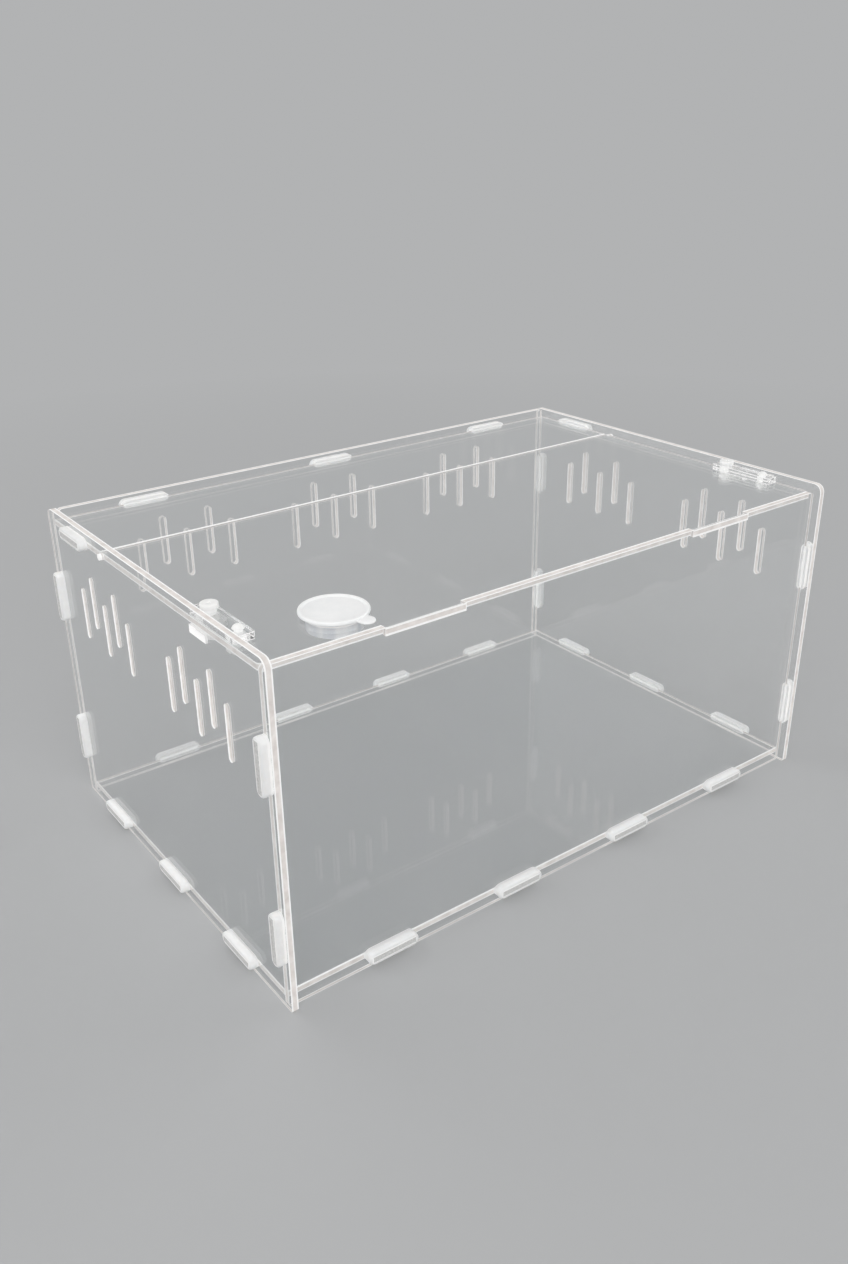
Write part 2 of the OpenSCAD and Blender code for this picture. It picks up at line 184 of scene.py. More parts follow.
# %% [markdown]
# ### Cut edges
# The laser leaves the cut edges matt, with fine lines in them, and on the real edge the sharp corners beside
# them gather the light into thin white lines. Here those lines are painted, as a white glow of their own. The
# fine lines run across the sheet, so the cut edge comes in one version for each way that a sheet can lie.
#
# A cut edge is the brightest thing on a clear sheet. Light inside the sheet is mirrored to and fro between the
# polished faces until it meets a matt surface, and there it comes out. Cycles gives up such a path after a few
# mirrorings, so the edge would turn grey. A weak even glow stands for the lost light, and the colour under it
# is darker by as much, so that a lit edge doesn't clip to white. The shader's mirror coat is off here: seen
# from inside the sheet it would mirror everything beyond 42 degrees and hide the edge behind it.
#
# Where a soft sleeve or a nylon stem fills a slot or a hole, it wets the wall, and its white shows right
# through the sheet. Between two meshes there is always some air, which would hide it, so those walls get a
# pale colour and a painted glow of their own, which stands for the light piped along the sheet onto that white.
# The end of a tenon looks grey inside its white ring: the silicone round it takes up the light that would come
# out there, so it gets a weaker painted glow than a cut edge.

# %% Finishes of the cut edges
def cut_edge(name, thin_axis):
    across = [0.02 if axis == thin_axis else 1.0 for axis in range(3)]
    finish = Finish(
        name, IOR=ACRYLIC_INDEX, Specular_IOR_Level=0.0, Transmission_Weight=0.05, Emission_Strength=0.42,
    )
    lines = finish.noise(1600, 3, stretch=across)
    finish.shader.inputs["Emission Color"].default_value = (1, 0.96, 0.94, 1)
    finish.colours(finish.noise(220, 4), (0.26, 0.23, 0.21), (0.44, 0.42, 0.40))
    finish.roughness(lines, 0.4, 0.65)
    finish.bump(lines, 0.000006)
    return finish.material


def glowing_corner_line():
    # Emission Strength paints the thin white lines as a glow; with the mirror coat off they don't mirror the
    # lamps.
    finish = Finish("glowing_corner_line", IOR=ACRYLIC_INDEX, Specular_IOR_Level=0.0, Emission_Strength=0.6)
    finish.shader.inputs["Emission Color"].default_value = (1, 1, 1, 1)
    finish.colours(finish.noise(300, 2), (0.36, 0.355, 0.35), (0.42, 0.415, 0.41))
    finish.roughness(finish.noise(900, 2), 0.3, 0.5)
    return finish.material


def glowing_filled_wall():
    # Emission Strength paints a glow on the filled walls, for light piped along the sheet.
    finish = Finish("glowing_filled_wall", Specular_IOR_Level=0.0, Roughness=0.45, Emission_Strength=0.5)
    finish.shader.inputs["Emission Color"].default_value = (1, 1, 1, 1)
    finish.colours(finish.noise(300, 3), (0.50, 0.50, 0.49), (0.60, 0.60, 0.59))
    return finish.material


def dimly_glowing_tenon_end():
    # Emission Strength paints a weak glow, weaker than on a cut edge, so the tenon's end shows grey.
    finish = Finish(
        "dimly_glowing_tenon_end", IOR=ACRYLIC_INDEX, Specular_IOR_Level=0.0, Roughness=0.4, Emission_Strength=0.2,
    )
    finish.shader.inputs["Emission Color"].default_value = (1, 1, 1, 1)
    finish.colours(finish.noise(1500, 3), (0.30, 0.295, 0.29), (0.50, 0.495, 0.485))
    return finish.material


CUT = [cut_edge("cut_edge_" + "xyz"[axis], axis) for axis in range(3)]
CORNER_GLOW, FILLED_WALL_GLOW, TENON_END_GLOW = glowing_corner_line(), glowing_filled_wall(), dimly_glowing_tenon_end()
print("cut edges:", [m.name for m in (*CUT, CORNER_GLOW, FILLED_WALL_GLOW, TENON_END_GLOW)])

# %% [markdown]
# ### Silicone, milky plastic and nylon
# The sleeves are soft silicone, milky and a little see-through, so light spreads inside them. The port is
# thin polythene: its cap is nearly white, and its collar has faint bluish streaks from top to bottom, painted
# light and shade in its colour for the light that runs down the thin wall. The knobs and screws are white nylon
# with a fine moulded grain.

# %% Finishes of the soft and moulded pieces
def silicone():
    finish = Finish(
        "milky_silicone", IOR=1.41, Subsurface_Weight=0.6, Subsurface_Scale=0.0015,
        Transmission_Weight=0.1,
    )
    finish.shader.inputs["Subsurface Radius"].default_value = (1.0, 0.95, 0.9)
    finish.colours(finish.noise(260, 3), (0.91, 0.91, 0.90), (0.97, 0.97, 0.96))
    grain = finish.noise(2600, 3)
    finish.roughness(grain, 0.32, 0.5)
    finish.bump(grain, 0.00003)
    return finish.material


def milky_cap():
    finish = Finish("milky_cap", IOR=1.51, Subsurface_Weight=0.5, Subsurface_Scale=0.001)
    finish.shader.inputs["Subsurface Radius"].default_value = (1.0, 1.0, 1.0)
    finish.colours(finish.noise(180, 4), (0.90, 0.91, 0.91), (0.97, 0.97, 0.965))
    grain = finish.noise(1500, 3)
    finish.roughness(grain, 0.3, 0.48)
    finish.bump(grain, 0.00002)
    return finish.material


def milky_collar():
    finish = Finish("milky_collar", IOR=1.51, Transmission_Weight=0.05)
    # Painted light and shade: upright streaks, bluish to nearly white, for light running down the thin wall.
    painted_light_streaks = finish.noise(260, 2, stretch=(1, 1, 0.05))
    finish.colours(painted_light_streaks, (0.78, 0.80, 0.84), (0.97, 0.975, 0.98), 0.38, 0.62)
    finish.roughness(finish.noise(500, 3, stretch=(1, 1, 0.1)), 0.3, 0.45)
    return finish.material


def nylon():
    finish = Finish("moulded_nylon", IOR=1.53, Subsurface_Weight=0.35, Subsurface_Scale=0.0006)
    finish.shader.inputs["Subsurface Radius"].default_value = (1.0, 0.98, 0.95)
    finish.colours(finish.noise(400, 3), (0.91, 0.905, 0.89), (0.97, 0.965, 0.95))
    grain = finish.noise(4200, 3)
    finish.roughness(grain, 0.34, 0.5)
    finish.bump(grain, 0.00002)
    return finish.material


SILICONE, CAP, COLLAR, NYLON = silicone(), milky_cap(), milky_collar(), nylon()
print("moulded finishes:", [m.name for m in (SILICONE, CAP, COLLAR, NYLON)])

# %% [markdown]
# ## From bmesh to a finished piece
# Every new piece ends the same way: its mesh becomes an object at the origin, takes its materials, rides on
# the body of the piece it stands for and hides that plain piece. Round faces are shaded smooth, and edges
# sharper than the angle stay crisp. The sheets' polished faces stay flat: the smallest bend in their shading
# would show as a wavy reflection.

# %% Finish a piece
CRISP_ANGLE = math.radians(35)


def finish_piece(bm, name, node, materials, smooth_slots=(0,)):
    """Makes the object; faces whose material slot isn't in smooth_slots stay flat."""
    mesh = bpy.data.meshes.new(name)
    bm.to_mesh(mesh)
    bm.free()
    for material in materials:
        mesh.materials.append(material)
    mesh.set_sharp_from_angle(angle=CRISP_ANGLE)
    for face in mesh.polygons:
        face.use_smooth = face.material_index in smooth_slots
    piece = bpy.data.objects.new(name, mesh)
    bpy.context.scene.collection.objects.link(piece)
    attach(piece, BODY_OF[node])
    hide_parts(node)
    return piece


def join_shape(piece, bm):
    """Fuses the bmesh's closed shape into the piece's mesh, so the two become one skin."""
    mesh = bpy.data.meshes.new("joined")
    bm.to_mesh(mesh)
    bm.free()
    mesh.materials.append(piece.data.materials[0])
    other = bpy.data.objects.new("joined", mesh)
    bpy.context.scene.collection.objects.link(other)
    union = piece.modifiers.new("union", "BOOLEAN")
    union.operation, union.solver, union.object = "UNION", "EXACT", other
    fused = bpy.data.meshes.new_from_object(piece.evaluated_get(bpy.context.evaluated_depsgraph_get()))
    piece.modifiers.clear()
    piece.data = fused
    fused.set_sharp_from_angle(angle=CRISP_ANGLE)
    bpy.data.objects.remove(other)


def edges_over(bm, degrees):
    """The edges where two faces meet at more than this angle."""
    limit = math.radians(degrees)
    return [e for e in bm.edges if len(e.link_faces) == 2 and e.calc_face_angle() > limit]


def bevel(bm, edges, width, segments):
    """Rounds the edges given and returns the new faces."""
    made = bmesh.ops.bevel(
        bm, geom=edges, offset=width, offset_type="OFFSET", segments=segments, profile=0.5,
        affect="EDGES", material=-1, clamp_overlap=True,
    )
    return made["faces"]


print("bodies that pieces ride on:", sorted(set(BODY_OF.values())))

# %% [markdown]
# ## The clear sheets
# First comes the question which walls a white piece fills. A sleeve fills its slot all round and hugs the
# tenon inside it, and a stem fills its round hole. So a wall is filled when it lies in a sleeve's box and
# doesn't face the way its tenon goes, or when it lies as near to a stem's axis as the stem is thick. A face in
# a sleeve's box that does face the way the tenon goes is the tenon's end.

# %% Find the filled walls
EASE = 0.35 * MM  # slack of these tests, more than any fit between two pieces
STEM_R, SHANK_R = 2.5 * MM, 1.5 * MM
SLEEVES = [node for node in frame["nodes"] if "_sleeve" in node]
STEMS = [
    (sum(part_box(side + kind), Vector()) / 2, radius)
    for side in ("left", "right") for kind, radius in (("_latch_knob", STEM_R), ("_bar_screw", SHANK_R))
]


def long_to_short(node):
    """The axes of a node's box, the longest first. A sleeve's second axis is the one its tenon goes along."""
    low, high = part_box(node)
    return sorted(range(3), key=lambda axis: low[axis] - high[axis])


def overlap(first, second):
    """Whether two boxes, each a low and a high corner, share some space."""
    return all(first[0][a] < second[1][a] and second[0][a] < first[1][a] for a in range(3))


def sleeves_at(sheet_box):
    """The box of each sleeve that touches the sheet, with the axis its tenon goes along."""
    sleeves = [(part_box(node), long_to_short(node)[1]) for node in SLEEVES]
    return [(box, through) for box, through in sleeves if overlap(box, sheet_box)]


def is_inside(point, box):
    return all(box[0][a] - EASE < point[a] < box[1][a] + EASE for a in range(3))


def looks_along(face, axis):
    """Whether the face looks one way or the other along the axis, and not to the side of it."""
    return abs(face.normal[axis]) > 0.5


def is_filled(face, sleeves, stems):
    """Whether a sleeve or a stem touches this wall."""
    point = face.calc_center_bounds()
    if any(is_inside(point, box) and not looks_along(face, through) for box, through in sleeves):
        return True
    is_near_stem = any((point - axis).xy.length < radius + EASE for axis, radius in stems)
    return is_near_stem and not looks_along(face, 2)


def is_tenon_end(face, sleeves, thin):
    """Whether this is the end of a tenon, which goes along another axis than the sheet's thin one."""
    point = face.calc_center_bounds()
    return any(
        through != thin and looks_along(face, through) and is_inside(point, box) for box, through in sleeves
    )


# %% [markdown]
# The frame already holds each sheet's exact outline, with its slots, notches and tenons. What it lacks is the
# thin bevel that every real cut edge has, and that is what the eye sees first on clear plastic. So the sheet's
# mesh is copied and its loose triangles are merged. Limited dissolve joins them into whole faces, because a
# bevel needs room on both sides of an edge. Two sheets that touch keep a hair of air between them, because
# light that passes from one real sheet to the next also crosses air, and two faces in the same place would
# render dark.
#
# Then planes cut the mesh along lines where its finish changes. Two of them divide the cut edge in three
# bands: the outer two, on all but the frosted tongues, get the painted glow of the corners, for the light that
# gathers along the corners of the real edge. One more divides each tenon where its sleeve ends, since only the
# part inside the sleeve is white, with the painted glow of a filled wall.

# %% Copy a sheet and cut it in bands
BRIGHT_BAND, BAR_BAND = 0.6 * MM, 0.32 * MM
AIR = 0.015 * MM
TENON_START = 0.5 * MM
SAME_POINT, FLAT_ANGLE, ON_PLANE = 1e-6, math.radians(0.3), 1e-7


def copy_sheet(node):
    bm = bmesh.new()
    bm.from_mesh(frame["nodes"][node].data)
    bmesh.ops.remove_doubles(bm, verts=bm.verts, dist=SAME_POINT)
    bmesh.ops.dissolve_limit(
        bm, angle_limit=FLAT_ANGLE, verts=bm.verts, edges=bm.edges, use_dissolve_boundaries=False,
    )
    bm.normal_update()
    for vert in bm.verts:
        vert.co -= vert.normal * vert.calc_shell_factor() * AIR
    return bm


def cut_in_bands(bm, low, high, thin, band, sleeves):
    cuts = {(thin, low[thin] + band), (thin, high[thin] - band)}
    for box, through in sleeves:
        if through != thin:
            inner_end = min((end[through] for end in box), key=abs)
            cuts.add((through, round(inner_end + math.copysign(TENON_START, inner_end), 6)))
    for axis, level in sorted(cuts):
        along = Vector([a == axis for a in range(3)])
        everything = bm.verts[:] + bm.edges[:] + bm.faces[:]
        bmesh.ops.bisect_plane(bm, geom=everything, dist=ON_PLANE, plane_co=along * level, plane_no=along)


print("width of the bright bands, mm:", round(BRIGHT_BAND / MM, 2))

# %% [markdown]
# The way a face looks tells what it is: along the sheet's thin direction it is a polished face, otherwise it
# was cut. The lid's two hinge ears and the slot that each latch's tongue turns into are so small that their
# edges glow all over, so every cut face there takes the painted glow of the corners. Last, the sharp edges
# are bevelled, and the bevels, except on the frosted tongues, take the same painted glow and are the thin white
# lines.

# %% Dress the sheets
SHEETS = [
    "left_end_panel", "right_end_panel", "front_panel", "back_panel", "bottom_panel", "rear_top_strip",
    "lid_panel", "left_latch_bar", "right_latch_bar", "left_latch_tongue", "right_latch_tongue",
]
EDGE_BEVEL = 0.3 * MM
END_SHEET_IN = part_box("right_end_panel")[0].x
LATCH_SLOT_UP, LATCH_SLOT_ALONG = 1 * MM, 15 * MM
POLISHED_TILT = 0.9  # a polished face looks along the sheet's thin direction at least this squarely
FACE_SLOT, CUT_SLOT, CORNER_SLOT, FILLED_SLOT, END_SLOT = range(5)


def is_in_latch_slot(point):
    """Whether a point of an end panel lies on the walls of the slot that the latch's tongue turns into."""
    low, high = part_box("left_latch_tongue")
    is_level = low.z - LATCH_SLOT_UP < point.z < high.z + LATCH_SLOT_UP
    return is_level and abs(point.y - high.y) < LATCH_SLOT_ALONG


def slot_of(face, node, low, high, thin, band, sleeves):
    """The material slot of a sheet's face."""
    middle = face.calc_center_bounds()
    is_ear = node == "lid_panel" and abs(middle.x) > END_SHEET_IN
    if is_filled(face, sleeves, STEMS if thin == 2 else []):
        return FILLED_SLOT
    if is_tenon_end(face, sleeves, thin):
        return END_SLOT
    if abs(face.normal[thin]) > POLISHED_TILT and not is_ear:
        return FACE_SLOT
    is_in_band = min(abs(middle[thin] - side) for side in (low[thin], high[thin])) < band
    is_small = is_ear or (thin == 0 and is_in_latch_slot(middle))
    # The corner slot holds the corners' painted glow, except on the frosted tongues.
    return CORNER_SLOT if is_in_band or is_small else CUT_SLOT


def dress_sheet(node, polished=FACE, cut=None, corner=CORNER_GLOW, band=BRIGHT_BAND):
    low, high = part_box(node)
    thin = long_to_short(node)[2]
    sleeves = sleeves_at((low, high))
    bm = copy_sheet(node)
    cut_in_bands(bm, low, high, thin, band, sleeves)
    for face in bm.faces:
        face.material_index = slot_of(face, node, low, high, thin, band, sleeves)
    # The bevels take the corner slot, so they carry the same painted glow.
    for face in bevel(bm, edges_over(bm, 50), EDGE_BEVEL, 2):
        face.material_index = CORNER_SLOT
    materials = [polished, cut or CUT[thin], corner, FILLED_WALL_GLOW, TENON_END_GLOW]
    return finish_piece(bm, node + "_clear", node, materials, smooth_slots=(CORNER_SLOT,))


for node in SHEETS:
    if "_bar" in node:
        sheet = dress_sheet(node, cut=BAR_EDGE, band=BAR_BAND)
    elif "_tongue" in node:
        sheet = dress_sheet(node, FROSTED, FROSTED, FROSTED)
    else:
        sheet = dress_sheet(node)
    print(sheet.name, "faces:", len(sheet.data.polygons))

# %% [markdown]
# ## The soft sleeves
# A sleeve is a ring of silicone with round ends. Its rim is soft, and where it leaves the slot it swells a
# little, because slot and tenon squeeze it. That shape is a loft: a row of round-ended loops along the tenon,
# each grown or shrunk by a small amount, bridged one to the next. A round-ended loop is a circle pulled apart
# in the middle. The hole is a rectangle, as the tenon is. It is also made from a circle, its points pushed
# out to the sides of a square and stretched, so every loop has as many points. Both mouths of the hole lie a
# little deeper than the rim round them, as on a moulding. A bridge also needs that step: between two loops in
# one plane it can't tell which way round they run.

# %% Make a sleeve
SLEEVE_WALL = 1.2 * MM
ROUND_STEPS = 36
MOUTH_DISH = 0.12 * MM
# Depth from the inner end and how far the outline grows there, both in millimetres
SLEEVE_STATIONS = [
    (0.02, -0.20), (0.2, 0.0), (2.9, 0.0), (3.3, 0.14), (4.8, 0.16), (5.4, 0.08), (5.8, -0.16), (5.98, -0.5),
]


def loop_of(verts):
    return list(dict.fromkeys(edge for vert in verts for edge in vert.link_edges))


def unit_circle(bm):
    """A circle with a point at every 45 degrees, but none on the axes."""
    half_step = Matrix.Rotation(math.pi / ROUND_STEPS, 4, "Z")
    circle = bmesh.ops.create_circle(bm, cap_ends=False, radius=1, segments=ROUND_STEPS, matrix=half_step)
    return circle["verts"]


def pulled_circle(bm, length, width, place):
    """Loop with round ends: a circle of the given width, its halves pulled apart to the length."""
    verts = unit_circle(bm)
    for vert in verts:
        pull = math.copysign((length - width) / 2, vert.co.x)
        vert.co = (vert.co.x * width / 2 + pull, vert.co.y * width / 2, 0)
    bmesh.ops.transform(bm, matrix=place, verts=verts)
    return loop_of(verts)


def squared_circle(bm, length, width, place):
    """Rectangular loop: a circle pushed out to a square, then stretched."""
    verts = unit_circle(bm)
    for vert in verts:
        push = 0.5 / max(abs(vert.co.x), abs(vert.co.y))
        vert.co = (vert.co.x * push * length, vert.co.y * push * width, 0)
    bmesh.ops.transform(bm, matrix=place, verts=verts)
    return loop_of(verts)


def make_sleeve(node):
    low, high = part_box(node)
    size, middle = high - low, (high + low) / 2
    along, through, thin = long_to_short(node)
    outward = 1 if middle[through] > 0 else -1
    columns = [Vector((0, 0, 0)) for _ in range(3)]
    columns[0][along], columns[1][thin], columns[2][through] = 1, 1, outward
    turn = Matrix(columns).transposed().to_4x4()
    inner_end = middle.copy()
    inner_end[through] -= outward * size[through] / 2
    stand = Matrix.Translation(inner_end) @ turn
    bm = bmesh.new()
    loops = []
    for depth, grow in SLEEVE_STATIONS:
        place = stand @ Matrix.Translation((0, 0, depth * MM))
        loops.append(pulled_circle(bm, size[along] + 2 * grow * MM, size[thin] + 2 * grow * MM, place))
    hole = size[along] - 2 * SLEEVE_WALL, size[thin] - 2 * SLEEVE_WALL
    for depth in (size[through] - MOUTH_DISH, MOUTH_DISH):
        loops.append(squared_circle(bm, *hole, stand @ Matrix.Translation((0, 0, depth))))
    for first, second in zip(loops, loops[1:] + loops[:1]):
        bmesh.ops.bridge_loops(bm, edges=first + second)
    bmesh.ops.recalc_face_normals(bm, faces=bm.faces)
    return finish_piece(bm, node.replace("sleeve", "soft_sleeve"), node, [SILICONE])


for node in SLEEVES:
    sleeve = make_sleeve(node)
print("sleeves:", len(SLEEVES), "faces each:", len(sleeve.data.polygons))

# %% [markdown]
# ## Turned pieces
# The port, its cap, the knobs and the screws are all round. Each one is drawn as half of its section, from the
# axis or round a ring, and spun once about its axis. Corners of the section are bevelled afterwards, so the
# section itself needs only its corner points.

# %% Spin a section
SPIN_STEPS, SMALL_SPIN_STEPS = 96, 64


def turned(section, axis_place, closed=False, round_width=0.0, round_over=40.0, steps=SPIN_STEPS):
    """Spins (radius, height) points about the upright axis through axis_place; heights are real heights."""
    bm = bmesh.new()
    verts = [bm.verts.new((axis_place.x + r, axis_place.y, z)) for r, z in section]
    pairs = list(zip(verts, verts[1:])) + ([(verts[-1], verts[0])] if closed else [])
    edges = [bm.edges.new(pair) for pair in pairs]
    centre = (axis_place.x, axis_place.y, 0)
    bmesh.ops.spin(
        bm, geom=verts + edges, cent=centre, axis=(0, 0, 1), angle=math.tau, steps=steps, use_merge=True,
    )
    bmesh.ops.remove_doubles(bm, verts=bm.verts, dist=1e-7)
    bmesh.ops.recalc_face_normals(bm, faces=bm.faces)
    if round_width:
        bevel(bm, edges_over(bm, round_over), round_width, 3)
    return bm


print("steps in a full turn:", SPIN_STEPS)

# %% [markdown]
# ### The feeding port
# The collar is a short open tube with a flange that rests on the lid. The cap is a thin disc with a raised
# bead round its rim and a plug skirt below, and a round-ended tab stands out to pull it off by.

# %% Make the port
collar_low, collar_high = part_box("feeding_port_collar")
cap_low, cap_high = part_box("feeding_port_cap")
LID_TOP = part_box("lid_panel")[1].z
port_axis = (collar_low + collar_high) / 2
COLLAR_R, PORT_WALL = 10.65 * MM, 1.1 * MM
PORT_ROUND = 0.25 * MM
flange_r = (collar_high.x - collar_low.x) / 2
collar_in = COLLAR_R - PORT_WALL

collar_section = [
    (collar_in, collar_low.z), (COLLAR_R, collar_low.z), (COLLAR_R, LID_TOP), (flange_r, LID_TOP),
    (flange_r, collar_high.z), (collar_in, collar_high.z),
]
bm = turned(collar_section, port_axis, closed=True, round_width=PORT_ROUND)
collar = finish_piece(bm, "port_collar", "feeding_port_collar", [COLLAR])
print("collar height, mm:", round((collar_high.z - collar_low.z) / MM, 2))

# %% [markdown]
# The cap's section starts on the axis, runs out along the top and over the bead, and comes back below along
# the skirt. The tab is a pulled circle, extruded and bevelled, that starts inside the disc.

# %% Make the cap
CAP_R = (cap_high.x - cap_low.x) / 2
CAP_DISC, BEAD_W, BEAD_H, BEAD_SLOPE = 0.9 * MM, 1.2 * MM, 0.5 * MM, 0.6 * MM
CAP_ROUND = 0.22 * MM
DIP = 0.1 * MM  # how far the disc lies lower beside its bead
CROWN = [(0, 0.12 * MM), (6 * MM, 0.08 * MM), (10.4 * MM, -DIP)]  # the disc's slight dome: radius and rise
SKIRT_R = collar_in - 0.3 * MM
PULL_TURN = math.radians(16.6)
PULL_W, PULL_REACH = 6.4 * MM, 18.8 * MM
PULL_SINK, PULL_LIFT = 2 * MM, 0.05 * MM  # how far the tab starts inside the rim, and above the seat
seat = collar_high.z
disc_top = seat + CAP_DISC
bead_in, bead_top = CAP_R - BEAD_W, disc_top + BEAD_H
cap_section = [(radius, disc_top + rise) for radius, rise in CROWN] + [
    (bead_in - BEAD_SLOPE, disc_top - DIP), (bead_in, bead_top), (CAP_R - PORT_ROUND, bead_top),
    (CAP_R, disc_top), (CAP_R, seat), (SKIRT_R, seat),
    (SKIRT_R, cap_low.z), (SKIRT_R - PORT_WALL, cap_low.z), (SKIRT_R - PORT_WALL, seat), (0, seat),
]
bm = turned(cap_section, port_axis, round_width=CAP_ROUND, round_over=25.0)
cap = finish_piece(bm, "port_cap_milky", "feeding_port_cap", [CAP])

pull_start = CAP_R - PULL_SINK
tab_place = (
    Matrix.Translation((port_axis.x, port_axis.y, seat + PULL_LIFT))
    @ Matrix.Rotation(PULL_TURN - math.pi / 2, 4, "Z")
    @ Matrix.Translation(((PULL_REACH + pull_start) / 2, 0, 0))
)
tab_bm = bmesh.new()
outline = pulled_circle(tab_bm, PULL_REACH - pull_start, PULL_W, tab_place)
underside = bmesh.ops.contextual_create(tab_bm, geom=outline)["faces"]
raised = bmesh.ops.extrude_face_region(tab_bm, geom=underside)["geom"]
raised_verts = [g for g in raised if isinstance(g, bmesh.types.BMVert)]
bmesh.ops.translate(tab_bm, verts=raised_verts, vec=(0, 0, CAP_DISC - 2 * PULL_LIFT))
bmesh.ops.recalc_face_normals(tab_bm, faces=tab_bm.faces)
bevel(tab_bm, edges_over(tab_bm, 60), PORT_ROUND, 3)
join_shape(cap, tab_bm)
print("cap width, mm:", round(2 * CAP_R / MM, 2), "faces:", len(cap.data.polygons))

# %% [markdown]
# ### Knobs, screws and nuts
# A knob is a small turned head on a stem, with a dimple in the middle of its top. The bar's screw has a
# domed head, and the nut below is a six-sided prism with bevelled corners. The screw under the tongue has a
# flat head.

# %% Make the knobs
KNOB_DIMPLE_R, KNOB_DIMPLE = 0.6 * MM, 1.1 * MM
KNOB_HEAD, KNOB_ROUND = 2.0 * MM, 0.3 * MM
DOME_STEPS = 8
UNDER_SHANK_R, UNDER_ROUND = 1.0 * MM, 0.2 * MM
NUT_SINK, NUT_ROUND, NUT_BORE_STEPS = 0.2 * MM, 0.25 * MM, 36


def axis_and_radius(low, high):
    """The middle of a turned piece's box, and half its width."""
    return (low + high) / 2, (high.x - low.x) / 2


def make_knob(side):
    node = side + "_latch_knob"
    low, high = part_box(node)
    axis, head_r = axis_and_radius(low, high)
    head_low = high.z - KNOB_HEAD
    section = [
        (0, high.z - KNOB_DIMPLE), (KNOB_DIMPLE_R, high.z - KNOB_DIMPLE), (KNOB_DIMPLE_R, high.z),
        (head_r, high.z), (head_r, head_low), (STEM_R, head_low), (STEM_R, low.z), (0, low.z),
    ]
    bm = turned(section, axis, round_width=KNOB_ROUND, steps=SMALL_SPIN_STEPS)
    return finish_piece(bm, side + "_knob_nylon", node, [NYLON])


def make_bar_screw(side):
    node = side + "_bar_screw"
    low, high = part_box(node)
    axis, head_r = axis_and_radius(low, high)
    bar_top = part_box(side + "_latch_bar")[1].z
    rise = high.z - bar_top
    dome_r = (head_r**2 + rise**2) / (2 * rise)
    tilt = math.asin(head_r / dome_r)
    arc = [tilt * i / DOME_STEPS for i in range(DOME_STEPS + 1)]
    dome = [(dome_r * math.sin(a), high.z - dome_r + dome_r * math.cos(a)) for a in arc]
    section = dome + [(SHANK_R, bar_top), (SHANK_R, low.z), (0, low.z)]
    bm = turned(section, axis, steps=SMALL_SPIN_STEPS)
    return finish_piece(bm, side + "_screw_nylon", node, [NYLON])


def make_tongue_screw(side):
    node = side + "_tongue_screw"
    low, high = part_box(node)
    axis, head_r = axis_and_radius(low, high)
    head_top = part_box(side + "_latch_tongue")[0].z
    section = [
        (0, low.z), (head_r, low.z), (head_r, head_top), (UNDER_SHANK_R, head_top), (UNDER_SHANK_R, high.z),
        (0, high.z),
    ]
    bm = turned(section, axis, round_width=UNDER_ROUND, steps=SMALL_SPIN_STEPS)
    return finish_piece(bm, side + "_under_screw_nylon", node, [NYLON])


def make_nut(side):
    node = side + "_bar_nut"
    low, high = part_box(node)
    axis, corner_r = axis_and_radius(low, high)
    bm = bmesh.new()
    loops = []
    rings = [
        (corner_r, low.z, 6), (corner_r, high.z, 6),
        (SHANK_R, high.z - NUT_SINK, NUT_BORE_STEPS), (SHANK_R, low.z + NUT_SINK, NUT_BORE_STEPS),
    ]
    for radius, z, count in rings:
        place = Matrix.Translation((axis.x, axis.y, z))
        ring = bmesh.ops.create_circle(bm, cap_ends=False, radius=radius, segments=count, matrix=place)
        loops.append(loop_of(ring["verts"]))
    for first, second in zip(loops, loops[1:] + loops[:1]):
        bmesh.ops.bridge_loops(bm, edges=first + second)
    bmesh.ops.recalc_face_normals(bm, faces=bm.faces)
    outer = [e for e in edges_over(bm, 40) if min((v.co - axis).xy.length for v in e.verts) > SHANK_R * 1.2]
    bevel(bm, outer, NUT_ROUND, 2)
    return finish_piece(bm, side + "_nut_nylon", node, [NYLON])


for side in ("left", "right"):
    made = [make_knob(side), make_bar_screw(side), make_tongue_screw(side), make_nut(side)]
    print([piece.name for piece in made])

# %% [markdown]
# ## Floor, light and backdrop
# The box stands on a plain pale floor in a plain pale room. Near the box the floor is an ordinary surface that
# takes the shadow. Further off, what the eye sees of it fades into the room's own colour, so no horizon shows
# behind the clear sheets. Mirrors and clear sheets see the same as the eye does.

# %% Set the floor and the room
PALE = (0.445, 0.45, 0.455)
FLOOR_COLOUR = (0.455, 0.46, 0.465)
FLOOR_R = 8.0
FADE_START, FADE_END = 0.32, 1.0
ROOM_LIGHT = 0.5


def seen_by_eye(nodes, links):
    """1 for the camera's rays and for those that leave a mirror or a clear sheet."""
    path = nodes.new("ShaderNodeLightPath")
    total = None
    for kind in ("Is Camera Ray", "Is Glossy Ray", "Is Transmission Ray"):
        if total is None:
            total = path.outputs[kind]
            continue
        larger = nodes.new("ShaderNodeMath")
        larger.operation = "MAXIMUM"
        links.new(total, larger.inputs[0])
        links.new(path.outputs[kind], larger.inputs[1])
        total = larger.outputs["Value"]
    return total


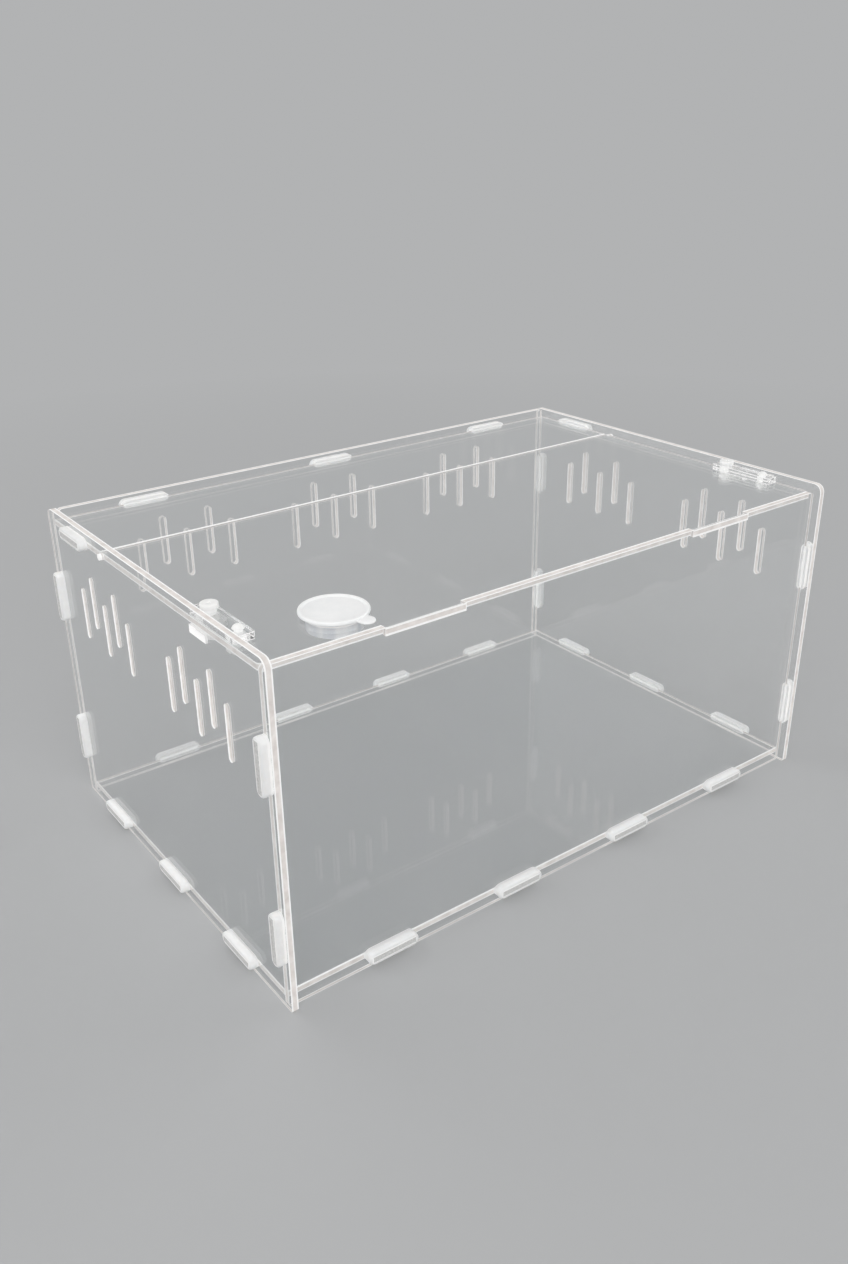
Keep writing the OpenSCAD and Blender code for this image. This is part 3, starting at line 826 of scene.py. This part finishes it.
def make_floor():
    bm = bmesh.new()
    bmesh.ops.create_circle(bm, cap_ends=True, radius=FLOOR_R, segments=96)
    mesh = bpy.data.meshes.new("floor")
    bm.to_mesh(mesh)
    bm.free()
    finish = Finish("pale_floor", Roughness=0.75, Specular_IOR_Level=0.2)
    finish.shader.inputs["Base Color"].default_value = (*FLOOR_COLOUR, 1)
    nodes, links = finish.nodes, finish.links
    distance = nodes.new("ShaderNodeVectorMath")
    distance.operation = "LENGTH"
    links.new(finish.coordinates.outputs["Object"], distance.inputs[0])
    fade = nodes.new("ShaderNodeMath")
    fade.operation = "MULTIPLY"
    links.new(finish.spread(distance.outputs["Value"], 0, 1, FADE_START, FADE_END), fade.inputs[0])
    links.new(seen_by_eye(nodes, links), fade.inputs[1])
    glow = nodes.new("ShaderNodeEmission")
    glow.inputs["Color"].default_value = (*PALE, 1)
    mix = nodes.new("ShaderNodeMixShader")
    links.new(fade.outputs["Value"], mix.inputs["Fac"])
    links.new(finish.shader.outputs["BSDF"], mix.inputs[1])
    links.new(glow.outputs["Emission"], mix.inputs[2])
    links.new(mix.outputs["Shader"], nodes["Material Output"].inputs["Surface"])
    mesh.materials.append(finish.material)
    floor = bpy.data.objects.new("floor", mesh)
    bpy.context.scene.collection.objects.link(floor)


def make_room():
    world = bpy.data.worlds.new("pale_room")
    bpy.context.scene.world = world
    world.use_nodes = True
    nodes, links = world.node_tree.nodes, world.node_tree.links
    light = next(n for n in nodes if n.type == "BACKGROUND")
    light.inputs["Color"].default_value = (1, 1, 1, 1)
    light.inputs["Strength"].default_value = ROOM_LIGHT
    seen = nodes.new("ShaderNodeBackground")
    seen.inputs["Color"].default_value = (*PALE, 1)
    mix = nodes.new("ShaderNodeMixShader")
    links.new(seen_by_eye(nodes, links), mix.inputs["Fac"])
    links.new(light.outputs["Background"], mix.inputs[1])
    links.new(seen.outputs["Background"], mix.inputs[2])
    links.new(mix.outputs["Shader"], nodes["World Output"].inputs["Surface"])


make_floor()
make_room()
print("floor and room colour:", PALE)

# %% [markdown]
# Three wide, soft lamps light the box from the front left, the right and the back left. None of them stands
# where the lid or the bottom sheet would mirror it towards the camera. They are nearly as wide as they are
# far, so where a turned lid does mirror one, it shows as a faint sheen and not as a white patch.

# %% Set the lamps
LAMP_AIM = Vector((0, 0, 0.07))
LAMP_DISTANCE, LAMP_SIZE = 2.0, 1.7
# Turn from the back to the right and rise from the level, both in degrees, and the power in watts
LAMPS = {"key": (215, 32, 19), "right": (98, 30, 10.5), "back": (-38, 35, 10.5)}


def add_lamp(name, turn, rise, power):
    """A square lamp that looks at the box."""
    turn, rise = math.radians(turn), math.radians(rise)
    lamp = bpy.data.lights.new(name, "AREA")
    lamp.size = LAMP_SIZE
    lamp.energy = power
    holder = bpy.data.objects.new(name, lamp)
    direction = Vector((math.sin(turn) * math.cos(rise), math.cos(turn) * math.cos(rise), math.sin(rise)))
    holder.location = LAMP_AIM + direction * LAMP_DISTANCE
    holder.rotation_euler = direction.to_track_quat("Z", "Y").to_euler()
    bpy.context.scene.collection.objects.link(holder)


for name, (turn, rise, power) in LAMPS.items():
    add_lamp(name, turn, rise, power)
bpy.context.scene.view_settings.view_transform = "Standard"
# Cycles blurs clear sheets for bounced light unless told not to, and the inside of the box would turn dark
bpy.context.scene.cycles.blur_glossy = 0.0
